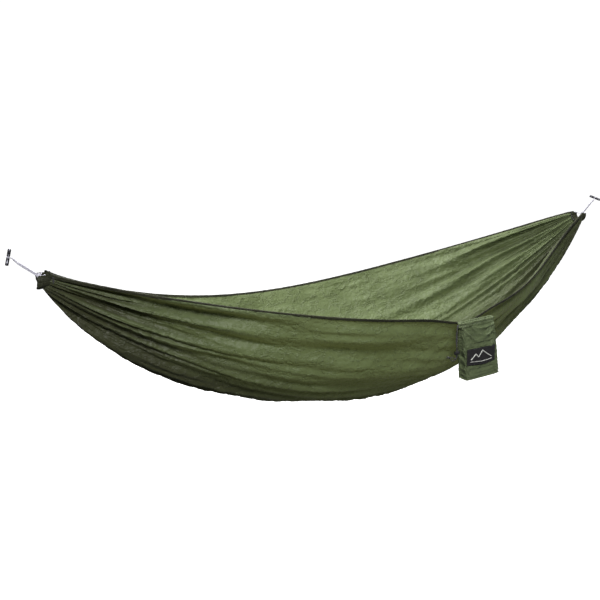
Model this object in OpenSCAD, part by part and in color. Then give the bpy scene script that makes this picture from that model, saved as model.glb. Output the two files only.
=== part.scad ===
// Gathered-end camping hammock with spliced toggle suspension and a
// stuff sack sewn to the near hem. Millimetres, +Z up. The origin is the
// middle of the left toggle bar, +X runs to the right toggle, and -Y is
// the near side, where the stuff sack hangs.

/* [Hang] */
// Distance between the middles of the two toggle bars
span = 2440; // [2300:10:2600]
// Horizontal distance from a toggle to the hitch at the sleeve
hitch_run = 76; // [70:1:90]
// How far the hitch sits below the toggle
hitch_drop = 63; // [58:1:66]

/* [Canopy] */
// Thickness of the canopy sheet
cloth_t = 1.6; // [1.4:0.1:2]
// Depth of the belly below the gathered ends
belly_drop = 562; // [502:5:622]
// How far the near hem stands out at mid-length
near_out = 361; // [321:2:401]
// How far the near hem sags at mid-length
near_drop = 220; // [200:5:260]
// How far the far hem stands out at mid-length
far_out = 424; // [380:1:460]
// How far the far hem sags at mid-length
far_drop = 259; // [220:1:300]
// Width of the hem binding
hem_w = 8; // [6:1:12]
// Thickness of the hem binding
hem_t = 3; // [2.4:0.1:3.6]

/* [Gathered ends] */
// Radius of the U that the gathered sleeve is pulled into
gather_r = 25; // [23:1:26]
// Outer radius of the gathered sleeve
sleeve_r = 9; // [8:0.5:9]
// Radius of the hole through the gathered sleeve
sleeve_bore_r = 2.4; // [2.2:0.1:3]

/* [Suspension] */
// Length of a toggle bar
bar_len = 48; // [44:1:56]
// Diameter of a toggle bar
bar_d = 9.5; // [9:0.1:10]
// Diameter of the turned waist in a toggle bar
waist_d = 6.8; // [6:0.1:7]
// Diameter of one strand of the white cord
cord_d = 2.6; // [2.2:0.1:2.8]

/* [Stuff sack] */
// Width of the sack at its bottom
sack_w = 150; // [140:2:156]
// Width of the sack just under its mouth
sack_top_w = 146; // [140:2:150]
// Front-to-back depth of the sack at its bottom
sack_d = 42; // [38:1:44]
// Height of the sack with its mouth channel
sack_h = 202; // [192:5:222]
// Diameter of the black drawcord
draw_d = 2.4; // [2:0.1:2.6]

/* [Hidden] */

$fn = 48;
LEFT = 0;
RIGHT = 1;
olive = [0.36, 0.41, 0.24];
dark_olive = [0.20, 0.22, 0.12];
black = [0.08, 0.08, 0.09];
white = [0.90, 0.89, 0.93];

// ---- canopy surface ----
panel_x0 = hitch_run + 24;            // the panel starts just past the sleeve
panel_run = span - 2 * panel_x0;
end_hem_z = -hitch_drop + 5;
end_belly_z = end_hem_z - gather_r - 4;
near_out_exp = 1.65;                  // slow flare of the near hem
far_out_exp = 0.65;                   // quick flare of the far hem
near_drop_exp = 0.9;
far_drop_exp = 0.84;
belly_exp = 0.66;
near_skew = 28;                       // the near hem sags more towards the sack
far_skew = 19;
end_arc = 83;                         // half angle of the U at the gathered ends
mid_arc = 50;                         // half angle of the cross-section at mid-length
sack_share = 0.558;                   // where along the hem the sack pulls
sack_reach = 0.05;
sack_pull_out = 8;
sack_pull_down = 24;
arc_to_chord = 1.06;                  // how much longer the cloth arc is than its chord
row_count = 56;
side_count = 24;
hem_gap = 0.6;                        // clear gap between panel and binding

// ---- suspension ----
hitch_x = [hitch_run, span - hitch_run];
sleeve_x = [panel_x0 - 11, span - panel_x0 + 11];
sleeve_z = end_hem_z - 4;
sleeve_arc = 98;                      // half angle that the gathered sleeve wraps
eye_cord_d = 2.6;
eye_gap = 0.3;
eye_r = waist_d / 2 + eye_gap + eye_cord_d / 2;
waist_len = 4.4;
eye_reach = 11;                       // bar axis to the fold point of the eye
swing_run = 21;                       // toggle to swing point, along X
swing_drop = swing_run * hitch_drop / hitch_run;
splice_r = 2;
whip_r = 2.8;
knot_ring_r = 4.5;
knot_cord_r = 1.4;
loop_r = 1.4;
bar_lean = [22, 69];                  // tilt of each bar from vertical
bar_heading = [38, 126];              // compass heading of that tilt, from +X

// ---- stuff sack ----
sack_at = [1377, -408, -298];
sack_tilt = 1;                        // the right end of the mouth sits higher
sack_lean = 0.1;                      // how far the sack hangs to the right, per unit of drop
channel_h = 18;
channel_t = 6;
channel_bore_r = 1.7;
mouth_half = 64;                      // half length of the straight of the mouth
mouth_end_r = 8;
mouth_depth = 2 * mouth_end_r + channel_t;
sack_wall = 2;
draw_r = draw_d / 2;
cord_y = [-1.5, 1.5];
cord_hang = 6;                        // the drawcord hangs this far beside the mouth
lock_drop = 94;                       // from the mouth down to the cord lock
lock_len = 14;
lock_r = 6;
button_travel = 3;

function unit(v) = v / norm(v);

// height factor of the sagging curves: 0 at both ends, 1 at mid-length
function hump(s) = 4 * s * (1 - s);
function sack_pull(s) = exp(-pow((s - sack_share) / sack_reach, 2));
function near_half(s) = gather_r + near_out * pow(hump(s), near_out_exp) + sack_pull_out * sack_pull(s);
function far_half(s) = gather_r + far_out * pow(hump(s), far_out_exp);
function near_hem_z(s) =
    end_hem_z - near_drop * pow(hump(s), near_drop_exp) + near_skew * sin(360 * s)
    - sack_pull_down * sack_pull(s);
function far_hem_z(s) =
    end_hem_z - far_drop * pow(hump(s), far_drop_exp) - far_skew * sin(360 * s);
function belly_z(s) = end_belly_z - belly_drop * pow(hump(s), belly_exp);
function arc_half(s) = end_arc + (mid_arc - end_arc) * sqrt(hump(s));

// a point of the canopy: s runs from the left end to the right end,
// t from the near hem (-1) through the belly (0) to the far hem (1)
function cloth_point(s, t) =
    let (
        arc = arc_half(s),
        half = t < 0 ? near_half(s) : far_half(s),
        hem = t < 0 ? near_hem_z(s) : far_hem_z(s),
        rise = (1 - cos(t * arc)) / (1 - cos(arc))
    )
    [panel_x0 + panel_run * s, half * sin(t * arc) / sin(arc), belly_z(s) + (hem - belly_z(s)) * rise];

function cloth_normal(s, t) =
    let (
        e = 0.0005,
        along = cloth_point(min(1, s + e), t) - cloth_point(max(0, s - e), t),
        across = cloth_point(s, min(1, t + e)) - cloth_point(s, max(-1, t - e))
    )
    unit(cross(along, across));

// share of the half-width that a strip of the given width takes at s
function near_share(s, w) = w / (arc_to_chord * norm([near_half(s), near_hem_z(s) - belly_z(s)]));
function far_share(s, w) = w / (arc_to_chord * norm([far_half(s), far_hem_z(s) - belly_z(s)]));

// closed patch of canopy between two s values and two t limits,
// from height low to height high above the middle of the cloth
module cloth_patch(s_values, t_from, t_to, columns, low, high) {
    rows = len(s_values);
    wide = columns + 1;
    points = [
        for (height = [low, high])
        for (s = s_values)
        for (j = [0:columns])
        let (t = t_from(s) + (t_to(s) - t_from(s)) * j / columns)
        cloth_point(s, t) + height * cloth_normal(s, t)
    ];
    function at(i, j, top) = (top * rows + i) * wide + j;
    skins = [
        for (i = [0:rows - 2])
        for (j = [0:columns - 1])
        each [
            [at(i, j, 1), at(i + 1, j, 1), at(i + 1, j + 1, 1)],
            [at(i, j, 1), at(i + 1, j + 1, 1), at(i, j + 1, 1)],
            [at(i, j, 0), at(i + 1, j + 1, 0), at(i + 1, j, 0)],
            [at(i, j, 0), at(i, j + 1, 0), at(i + 1, j + 1, 0)]
        ]
    ];
    long_edges = [
        for (i = [0:rows - 2])
        each [
            [at(i, 0, 0), at(i + 1, 0, 0), at(i + 1, 0, 1)],
            [at(i, 0, 0), at(i + 1, 0, 1), at(i, 0, 1)],
            [at(i, columns, 0), at(i + 1, columns, 1), at(i + 1, columns, 0)],
            [at(i, columns, 0), at(i, columns, 1), at(i + 1, columns, 1)]
        ]
    ];
    end_edges = [
        for (j = [0:columns - 1])
        each [
            [at(0, j, 0), at(0, j + 1, 1), at(0, j + 1, 0)],
            [at(0, j, 0), at(0, j, 1), at(0, j + 1, 1)],
            [at(rows - 1, j, 0), at(rows - 1, j + 1, 0), at(rows - 1, j + 1, 1)],
            [at(rows - 1, j, 0), at(rows - 1, j + 1, 1), at(rows - 1, j, 1)]
        ]
    ];
    reversed = [for (f = concat(skins, long_edges, end_edges)) [f[0], f[2], f[1]]];
    polyhedron(points, reversed, convexity = 6);
}

// s values from end to end, closer together where the cloth flares
all_rows = [for (i = [0:row_count]) (1 - cos(180 * i / row_count)) / 2];

// round bar between two points
module rod(a, b, r) {
    d = b - a;
    translate(a)
        rotate([0, acos(d.z / norm(d)), atan2(d.y, d.x)])
            cylinder(r = r, h = norm(d));
}

// tube along a list of points, one ring of sides at each point
module swept_tube(route, r, sides) {
    n = len(route);
    function heading(i) = unit(route[min(n - 1, i + 1)] - route[max(0, i - 1)]);
    function side_a(i) = unit(cross(heading(i), [0.13, 0.97, 0.21]));
    function side_b(i) = cross(heading(i), side_a(i));
    rings = [
        for (i = [0:n - 1])
        for (k = [0:sides - 1])
        let (turn = 360 * k / sides)
        route[i] + r * (cos(turn) * side_a(i) + sin(turn) * side_b(i))
    ];
    walls = [
        for (i = [0:n - 2])
        for (k = [0:sides - 1])
        let (a = i * sides + k, b = i * sides + (k + 1) % sides)
        each [[a, b, b + sides], [a, b + sides, a + sides]]
    ];
    start_cap = [for (k = [sides - 1:-1:0]) k];
    end_cap = [for (k = [0:sides - 1]) (n - 1) * sides + k];
    polyhedron(rings, [for (f = concat(walls, [start_cap, end_cap])) [for (k = [len(f) - 1:-1:0]) f[k]]]);
}

// ---- places on the suspension ----
function toggle_at(side) = [side * span, 0, 0];
function hitch_at(side) = [hitch_x[side], 0, -hitch_drop];
function swing_at(side) = [side == LEFT ? swing_run : span - swing_run, 0, -swing_drop];
function bar_way(side) =
    let (lean = bar_lean[side], heading = bar_heading[side])
    [sin(lean) * cos(heading), sin(lean) * sin(heading), cos(lean)];
// the eye leaves the bar square to it, as near to the hitch as it can point
function eye_way(side) =
    let (
        pull = unit(hitch_at(side) - toggle_at(side)),
        bar = bar_way(side)
    )
    unit(pull - (pull * bar) * bar);
function fold_at(side) = toggle_at(side) + eye_reach * eye_way(side);

// moves a shape drawn along +Z, with its eye towards +X, onto a toggle
module on_toggle(side) {
    z = bar_way(side);
    x = eye_way(side);
    y = cross(z, x);
    o = toggle_at(side);
    multmatrix([
        [x.x, y.x, z.x, o.x],
        [x.y, y.y, z.y, o.y],
        [x.z, y.z, z.z, o.z],
        [0, 0, 0, 1]])
        children();
}

// ---- suspension parts ----
module toggle_bar(side) {
    half = bar_len / 2;
    r = bar_d / 2;
    edge = 1;
    waist_half = waist_len / 2;
    slope = (bar_d - waist_d) / 2;
    color([0.62, 0.63, 0.66])
        on_toggle(side)
            rotate_extrude()
                polygon([
                    [0, -half], [r - edge, -half], [r, -half + edge],
                    [r, -waist_half - slope / 2], [waist_d / 2, -waist_half],
                    [waist_d / 2, waist_half], [r, waist_half + slope / 2],
                    [r, half - edge], [r - edge, half], [0, half]]);
}

module toggle_eye(side) {
    neck_r = 1.9;
    neck_gap = 2.4;
    color(white)
        on_toggle(side) {
            rotate_extrude()
                translate([eye_r, 0])
                    circle(d = eye_cord_d);
            translate([eye_r, 0, 0])
                rotate([0, 90, 0])
                    cylinder(r = neck_r, h = eye_reach - neck_gap - eye_r);
        }
}

module splice(side) {
    color(white) {
        rod(fold_at(side), swing_at(side), splice_r);
        for (end = [fold_at(side), swing_at(side)])
            translate(end)
                sphere(r = splice_r + 0.2);
    }
}

module splice_whipping(side) {
    way = unit(swing_at(side) - fold_at(side));
    from = fold_at(side) + 4 * way;
    to = swing_at(side) - 4 * way;
    color([0.72, 0.71, 0.76])
        difference() {
            rod(from, to, whip_r);
            rod(from - way, to + way, splice_r + 0.05);
        }
}

// two strands side by side from the swing point to the hitch
module suspension_cord(side) {
    way = unit(hitch_at(side) - swing_at(side));
    apart = (cord_d / 2 + 0.05) * cross(way, [0, 1, 0]);
    from = swing_at(side) + 3.2 * way;
    to = hitch_at(side) + 2 * way;
    color(white)
        for (strand = [-1, 1])
            rod(from + strand * apart, to + strand * apart, cord_d / 2);
}

// ring of cord that the sleeve loop makes round the two strands
module hitch_knot(side) {
    way = unit(hitch_at(side) - swing_at(side));
    color(white)
        translate(hitch_at(side))
            rotate([0, acos(way.z), atan2(way.y, way.x)])
                rotate_extrude()
                    translate([knot_ring_r, 0])
                        circle(r = knot_cord_r);
}

// the U of cord through the sleeve, and the two legs up to the hitch
module sleeve_loop(side) {
    inward = side == LEFT ? 1 : -1;
    lead_out = 14;                     // how far the cord leaves the sleeve before it bends back
    arc_end = sleeve_arc + lead_out;
    centre = [sleeve_x[side], 0, sleeve_z];
    knot_reach = 5.4;
    knot = hitch_at(side) + [inward * knot_reach, 0, -1];
    color(white) {
        translate(centre)
            rotate([0, -90, 0])
                rotate([0, 0, 180 - arc_end])
                    rotate_extrude(angle = 2 * arc_end)
                        translate([gather_r, 0])
                            circle(r = loop_r);
        for (y = [-1, 1]) {
            top = centre + gather_r * [0, y * sin(arc_end), -cos(arc_end)];
            rod(top, knot + [0, y * knot_reach, 0], loop_r);
            translate(top)
                sphere(r = loop_r + 0.2);
        }
    }
}

// the hemmed end of the cloth, gathered tight on its cord
module end_sleeve(side) {
    color(dark_olive)
        translate([sleeve_x[side], 0, sleeve_z])
            rotate([0, -90, 0])
                rotate([0, 0, 180 - sleeve_arc])
                    rotate_extrude(angle = 2 * sleeve_arc)
                        translate([gather_r, 0])
                            difference() {
                                circle(r = sleeve_r);
                                circle(r = sleeve_bore_r);
                            }
}

// the row of stitching that closes the sleeve, on the outside of the cloth
module sleeve_stitching(side) {
    near_edge = 8 / panel_run;
    far_edge = 12 / panel_run;
    s_values = [for (i = [0:2]) near_edge + (far_edge - near_edge) * i / 2];
    outside = -cloth_t / 2 - 0.3;
    color(black)
        cloth_patch(
            side == LEFT ? s_values : [for (i = [2:-1:0]) 1 - s_values[i]],
            function(s) -0.7, function(s) 0.7, 20, outside - 1.2, outside);
}

// ---- canopy parts ----
module canopy_panel() {
    color(olive)
        cloth_patch(all_rows,
            function(s) -1 + near_share(s, hem_w + hem_gap),
            function(s) 1 - far_share(s, hem_w + hem_gap),
            side_count, -cloth_t / 2, cloth_t / 2);
}

module near_hem_binding() {
    color(dark_olive)
        cloth_patch(all_rows,
            function(s) -1, function(s) -1 + near_share(s, hem_w), 1, -hem_t / 2, hem_t / 2);
}

module far_hem_binding() {
    color(dark_olive)
        cloth_patch(all_rows,
            function(s) 1 - far_share(s, hem_w), function(s) 1, 1, -hem_t / 2, hem_t / 2);
}

// ---- stuff sack ----
// local frame: X along the mouth, -Y towards the near side, Z up,
// origin at the middle of the mouth
module in_sack_frame() {
    translate(sack_at)
        rotate([0, -sack_tilt, 0])
            children();
}

// horizontal slice of the sack, with well-rounded corners
module sack_slice(z, w, d, thickness) {
    corner = 0.35;
    points = [
        for (k = [0:31])
        let (a = 360 * k / 32)
        [w / 2 * sign(cos(a)) * pow(abs(cos(a)), corner), d / 2 * sign(sin(a)) * pow(abs(sin(a)), corner)]
    ];
    translate([-z * sack_lean, 0, z])
        linear_extrude(thickness)
            polygon(points);
}

// sack shape, drawn in by inset all round, from height low to height high
module sack_form(inset, low, high) {
    slice = 0.2;
    hull() {
        sack_slice(high - slice, sack_top_w - 2 * inset, mouth_depth - 2 * inset, slice);
        sack_slice((low + high) / 2, sack_w - 6 - 2 * inset, sack_d - 2 * inset, slice);
        sack_slice(low, sack_w - 2 * inset, sack_d - 2 * inset, slice);
    }
}

module sack_body() {
    low = -sack_h + sack_wall;
    past = 0.5;
    color(olive)
        in_sack_frame()
            difference() {
                sack_form(0, low, -channel_h);
                sack_form(sack_wall, low - past, -channel_h + past);
            }
}

module sack_bottom() {
    color(olive)
        in_sack_frame()
            sack_slice(-sack_h, sack_w, sack_d, sack_wall);
}

// sweeps a profile round the stadium-shaped mouth
module round_mouth() {
    for (end = [-1, 1])
        translate([end * mouth_half, 0, 0])
            rotate([0, 0, end > 0 ? -90 : 90])
                rotate_extrude(angle = 180)
                    translate([mouth_end_r, 0])
                        children();
    for (edge = [0, 180])
        rotate([0, 0, edge])
            translate([-mouth_half, -mouth_end_r, 0])
                rotate([90, 0, 90])
                    linear_extrude(2 * mouth_half)
                        mirror([1, 0])
                            children();
}

module sack_mouth_channel() {
    color(dark_olive)
        in_sack_frame()
            translate([0, 0, -channel_h / 2 + 0.1])
                difference() {
                    round_mouth()
                        difference() {
                            square([channel_t, channel_h - 0.2], center = true);
                            circle(r = channel_bore_r);
                        }
                    translate([-mouth_half - mouth_end_r, 0, 0])
                        rotate([0, -90, 0])
                            cylinder(r = 4, h = channel_t);
                }
}

// the part of the drawcord that runs inside the mouth channel
module mouth_cord() {
    color(black)
        in_sack_frame()
            translate([0, 0, -channel_h / 2 + 0.1])
                round_mouth()
                    circle(r = draw_r);
}

module sack_label() {
    label_w = 124;
    label_h = 56;
    label_t = 1;
    label_drop = 146;
    label_shift = 5;
    label_lean = 1;
    color(black)
        in_sack_frame()
            translate([-label_w / 2 + label_shift, -sack_d / 2 - label_t - 0.3, -label_drop])
                rotate([0, -label_lean, 0])
                    cube([label_w, label_t, label_h]);
}

// short tape that sews the mouth of the sack to the near hem
module sack_hem_tab() {
    tab_x = sack_at.x - 34;
    tab_s = (tab_x - panel_x0) / panel_run;
    hem = cloth_point(tab_s, -1);
    tab_w = 46;
    swing_clear = norm([mouth_depth, channel_h]) / 2 + 0.6;
    tab_len = hem.y - sack_at.y - swing_clear - hem_t / 2 - 0.4;
    color(dark_olive)
        translate([tab_x - tab_w / 2, sack_at.y + swing_clear, hem.z - 6])
            cube([tab_w, tab_len, 1.6]);
}

// ---- drawcord and its lock ----
draw_exit = [-mouth_half - mouth_end_r - 2.6, 0, -channel_h / 2];
drawcord_route = [
    [0, 0, 0], [-2.6, 0, 0.3], [-4.7, 0, -1.5], [-5.7, 0, -5], [-cord_hang, 0, -12], [-cord_hang, 0, -24],
    [-cord_hang, 0, -36], [-cord_hang, 0, -48], [-cord_hang, 0, -60], [-cord_hang, 0, -72],
    [-cord_hang, 0, -84], [-cord_hang, 0, -94], [-cord_hang, 0, -104], [-6.8, 0, -109.5], [-9.5, 0, -114],
    [-14, 0, -116.3], [-20, 0, -115.5], [-27, 0, -111.5], [-34, 0, -106.5], [-39, 0, -102.8]];

module drawcord() {
    color(black)
        in_sack_frame()
            for (y = cord_y)
                swept_tube([for (p = drawcord_route) draw_exit + p + [0, y, 0]], draw_r, 8);
}

module drawcord_end_knot() {
    knot_r = 3.4;
    last = drawcord_route[len(drawcord_route) - 1];
    before = drawcord_route[len(drawcord_route) - 2];
    color(black)
        in_sack_frame()
            translate(draw_exit + last + (knot_r + 0.1) * unit(last - before))
                sphere(r = knot_r);
}

// moves to the middle of the cord lock: plunger along -X, away from the sack, cords along Z
module at_lock() {
    in_sack_frame()
        translate([draw_exit.x - cord_hang, 0, draw_exit.z - lock_drop])
            mirror([1, 0, 0])
                children();
}

module cord_slot(from, to) {
    translate([from, -3.2, -lock_len])
        cube([to - from, 6.4, 2 * lock_len]);
}

module cord_lock_body() {
    bore_r = 4.4;
    floor_t = 1.2;
    color(black)
        at_lock()
            difference() {
                translate([-lock_len / 2, 0, 0])
                    rotate([0, 90, 0])
                        cylinder(r = lock_r, h = lock_len);
                translate([-lock_len / 2 + floor_t, 0, 0])
                    rotate([0, 90, 0])
                        cylinder(r = bore_r, h = lock_len);
                cord_slot(-1.5, 1.5);
            }
}

module cord_lock_button() {
    button_r = 4.2;
    button_start = -2.6;
    button_len = 12.6;
    color([0.14, 0.14, 0.15])
        at_lock()
            difference() {
                translate([button_start, 0, 0])
                    rotate([0, 90, 0])
                        cylinder(r = button_r, h = button_len);
                cord_slot(-1.4, 1.5 + button_travel);
            }
}

module cord_lock_spring() {
    coil_r = 3;
    wire_r = 0.35;
    turns = 3;
    color([0.7, 0.7, 0.72])
        at_lock()
            for (k = [0:turns - 1])
                translate([-lock_len / 2 + 1.2 + 0.4 + k * 1.05, 0, 0])
                    rotate([0, 90, 0])
                        rotate_extrude()
                            translate([coil_r, 0])
                                circle(r = wire_r);
}

module left_toggle_bar() toggle_bar(LEFT);
module right_toggle_bar() toggle_bar(RIGHT);
module left_toggle_eye() toggle_eye(LEFT);
module right_toggle_eye() toggle_eye(RIGHT);
module left_splice() splice(LEFT);
module right_splice() splice(RIGHT);
module left_splice_whipping() splice_whipping(LEFT);
module right_splice_whipping() splice_whipping(RIGHT);
module left_suspension_cord() suspension_cord(LEFT);
module right_suspension_cord() suspension_cord(RIGHT);
module left_hitch_knot() hitch_knot(LEFT);
module right_hitch_knot() hitch_knot(RIGHT);
module left_sleeve_loop() sleeve_loop(LEFT);
module right_sleeve_loop() sleeve_loop(RIGHT);
module left_end_sleeve() end_sleeve(LEFT);
module right_end_sleeve() end_sleeve(RIGHT);
module left_sleeve_stitching() sleeve_stitching(LEFT);
module right_sleeve_stitching() sleeve_stitching(RIGHT);

canopy_panel();
near_hem_binding();
far_hem_binding();
left_end_sleeve();
right_end_sleeve();
left_sleeve_stitching();
right_sleeve_stitching();
left_sleeve_loop();
right_sleeve_loop();
left_hitch_knot();
right_hitch_knot();
left_suspension_cord();
right_suspension_cord();
left_splice();
right_splice();
left_splice_whipping();
right_splice_whipping();
left_toggle_eye();
right_toggle_eye();
left_toggle_bar();
right_toggle_bar();
sack_hem_tab();
sack_body();
sack_bottom();
sack_mouth_channel();
sack_label();
mouth_cord();
drawcord();
drawcord_end_knot();
cord_lock_body();
cord_lock_button();
cord_lock_spring();
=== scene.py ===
import math

import bpy
import numpy as np
from mathutils import Matrix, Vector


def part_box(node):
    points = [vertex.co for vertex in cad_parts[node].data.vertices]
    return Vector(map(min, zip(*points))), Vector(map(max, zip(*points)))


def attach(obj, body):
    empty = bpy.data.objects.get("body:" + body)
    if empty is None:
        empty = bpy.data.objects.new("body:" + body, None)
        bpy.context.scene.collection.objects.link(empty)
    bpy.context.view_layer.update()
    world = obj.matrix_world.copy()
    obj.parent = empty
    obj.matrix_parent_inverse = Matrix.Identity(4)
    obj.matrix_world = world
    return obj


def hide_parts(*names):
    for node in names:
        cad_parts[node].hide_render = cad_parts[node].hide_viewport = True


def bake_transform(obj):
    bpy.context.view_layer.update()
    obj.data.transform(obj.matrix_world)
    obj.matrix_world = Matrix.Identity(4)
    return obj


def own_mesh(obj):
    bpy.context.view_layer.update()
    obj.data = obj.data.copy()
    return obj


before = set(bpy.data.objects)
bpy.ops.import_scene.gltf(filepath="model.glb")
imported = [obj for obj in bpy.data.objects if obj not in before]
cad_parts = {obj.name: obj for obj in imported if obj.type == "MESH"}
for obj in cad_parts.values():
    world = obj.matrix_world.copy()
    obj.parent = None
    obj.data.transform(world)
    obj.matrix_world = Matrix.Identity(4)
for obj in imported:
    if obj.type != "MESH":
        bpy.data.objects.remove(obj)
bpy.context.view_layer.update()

# ---- shared sizes, metres, as in the CAD source ----
SPAN = 2.440
HITCH_RUN = 0.076
HITCH_DROP = 0.063
PANEL_X0 = HITCH_RUN + 0.024
PANEL_RUN = SPAN - 2 * PANEL_X0
GATHER_R = 0.025
SLEEVE_END = (0.019, 0.007)
FLARE_SHARE = (1.0, 0.25)
SLEEVE_X = (PANEL_X0 - 0.011, SPAN - PANEL_X0 + 0.011)
END_HEM_Z = -HITCH_DROP + 0.005
SLEEVE_Z = END_HEM_Z - 0.004
SLEEVE_ARC = math.radians(98)
SWING_RUN = 0.021
SACK_AT = np.array((1.377, -0.408, -0.298))
SACK_TILT = math.radians(1)
SACK_LEAN = 0.1
FLAT_WIDTH = 1.19
FLAT_LENGTH = 2.69
SIDES = (0, 1)
FOLD_AT = ((0.010365, 0.000993, -0.003547), (2.43256, -0.001641, -0.007934))
BAR_WAY = ((0.2952, 0.2306, 0.9272), (-0.5487, 0.7553, 0.3584))
SWING_DROP = SWING_RUN * HITCH_DROP / HITCH_RUN
BAR_LENGTH = 0.048
BAR_R = 0.00475
WAIST_R = 0.0034
WAIST_LENGTH = 0.0044
EYE_R = 0.0050
EYE_CORD_R = 0.0013
CORD_R = 0.0020
HEM_WIDTH = 0.0095
HEM_THICK = 0.0046
SACK_HEIGHT = 0.202
MOUTH_HALF = 0.064
MOUTH_END_R = 0.008
DRAW_R = 0.0015
LABEL_W = 0.124
LABEL_H = 0.056
LABEL_DROP = 0.146
LABEL_SHIFT = 0.005
FLOOR_Z = -1.45
FLOOR_GLOW = 0.95
WORLD_LIGHT = 0.11


# ---- camera ----
def make_camera():
    """The viewing angle: from the near left, a little above the hammock."""
    yaw, pitch, roll = 0.507, 0.246, -0.021
    forward = np.array((math.sin(yaw) * math.cos(pitch), math.cos(yaw) * math.cos(pitch), -math.sin(pitch)))
    level = np.array((math.cos(yaw), -math.sin(yaw), 0.0))
    upright = np.cross(level, forward)
    right = level * math.cos(roll) + upright * math.sin(roll)
    up = upright * math.cos(roll) - level * math.sin(roll)
    data = bpy.data.cameras.new("camera")
    data.lens = 42.3
    data.clip_end = 60
    camera = bpy.data.objects.new("camera", data)
    bpy.context.scene.collection.objects.link(camera)
    place = np.eye(4)
    place[:3, 0], place[:3, 1], place[:3, 2] = right, up, -forward
    place[:3, 3] = (-0.234, -2.102, 0.349)
    camera.matrix_world = Matrix(place.tolist())
    bpy.context.scene.camera = camera


# ---- canopy surface, the same as in the CAD source ----
def hump(s):
    return np.maximum(4 * s * (1 - s), 0)


def canopy_point(s, t):
    """s runs from the left end to the right end, t from the near hem (-1) to the far hem (1)."""
    pull = np.exp(-((s - 0.558) / 0.05) ** 2)
    near = GATHER_R + 0.361 * hump(s) ** 1.65 + 0.008 * pull
    far = GATHER_R + 0.424 * hump(s) ** 0.65
    turn = 2 * np.pi * s
    near_z = END_HEM_Z - 0.220 * hump(s) ** 0.9 + 0.028 * np.sin(turn) - 0.024 * pull
    far_z = END_HEM_Z - 0.259 * hump(s) ** 0.84 - 0.019 * np.sin(turn)
    belly_z = END_HEM_Z - GATHER_R - 0.004 - 0.562 * hump(s) ** 0.66
    arc = np.radians(83 + (50 - 83) * np.sqrt(hump(s)))
    half = np.where(t < 0, near, far)
    hem_z = np.where(t < 0, near_z, far_z)
    rise = (1 - np.cos(t * arc)) / (1 - np.cos(arc))
    x = PANEL_X0 + PANEL_RUN * s + 0 * t
    return np.stack([x, half * np.sin(t * arc) / np.sin(arc), belly_z + (hem_z - belly_z) * rise], -1)


def grid_normals(points):
    along = np.gradient(points, axis=0)
    across = np.gradient(points, axis=1)
    normal = np.cross(along, across)
    return normal / np.maximum(np.linalg.norm(normal, axis=-1, keepdims=True), 1e-12)


def even_rows(points, axis):
    """Moves grid points along their own line so that they lie evenly on it."""
    lines = np.moveaxis(points, axis, 0)
    out = np.empty_like(lines)
    steps = np.linalg.norm(np.diff(lines, axis=0), axis=-1)
    travelled = np.concatenate([np.zeros((1, lines.shape[1])), np.cumsum(steps, 0)])
    for j in range(lines.shape[1]):
        even = np.linspace(0, travelled[-1, j], lines.shape[0])
        for k in range(3):
            out[:, j, k] = np.interp(even, travelled[:, j], lines[:, j, k])
    return np.moveaxis(out, 0, axis)


def smooth_noise(shape, cells, seed):
    """Band-limited noise with about cells bumps along each axis, unit spread."""
    rng = np.random.default_rng(seed)
    spectrum = np.fft.rfft2(rng.standard_normal(shape))
    fy = np.fft.fftfreq(shape[0])[:, None] * shape[0] / cells[0]
    fx = np.fft.rfftfreq(shape[1])[None, :] * shape[1] / cells[1]
    r2 = fy ** 2 + fx ** 2
    field = np.fft.irfft2(spectrum * r2 * np.exp(-1.5 * r2), shape)
    return field / field.std()


LENGTH_CELLS = 560
WIDTH_CELLS = 400
# folds across the width, depth share, sharpness of the valleys, reach from the end, seed
FOLD_ROWS = ((8, 0.50, 2.0, 1.60, 1), (19, 0.60, 1.8, 1.00, 2), (43, 0.50, 1.3, 0.34, 3))
# strength of the painted shade in the fold valleys
FOLD_SHADE = 0.50
# fine creases, each row: cells across and along, height in metres, sharpness, seed
CREASE_ROWS = (((26, 13), 0.0026, 1.7, 11), ((56, 32), 0.0026, 2.0, 12), ((110, 60), 0.0016, 2.0, 13))
# folds that the sack drags into the cloth, each row: slope, gap from the sack, height in metres
DRAG_FOLDS = ((0.55, 0.00, 0.0050), (0.95, 0.05, 0.0060), (1.7, 0.09, 0.0045), (-1.1, 0.03, 0.0045),
              (-2.2, 0.07, 0.0030))
# strengths of the painted shade near the gathered ends and on the lower belly
END_SHADE = 0.56
LOW_SHADE = 0.90


def soft_noise(shape, cells, seed):
    """Smooth random field from 0 to 1."""
    field = smooth_noise(shape, cells, seed)
    return 1 / (1 + np.exp(-1.7 * field))


def fold_depth(phase, sharpness):
    """0 on the rounded ridges and 1 in the narrow valleys of a row of folds."""
    return (0.5 - 0.5 * np.cos(phase)) ** sharpness


def gather_flare(from_end, t, side):
    """The lower near part of a gathered end reaches further out and hangs lower."""
    amount = np.exp(-from_end / 0.070) * np.exp(-((t + 0.30) / 0.55) ** 2)
    outward = np.where(side < 0.5, -FLARE_SHARE[0], FLARE_SHARE[1])
    return np.stack([outward * 0.023 * amount, -0.002 * amount, -0.012 * amount], -1)


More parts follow.
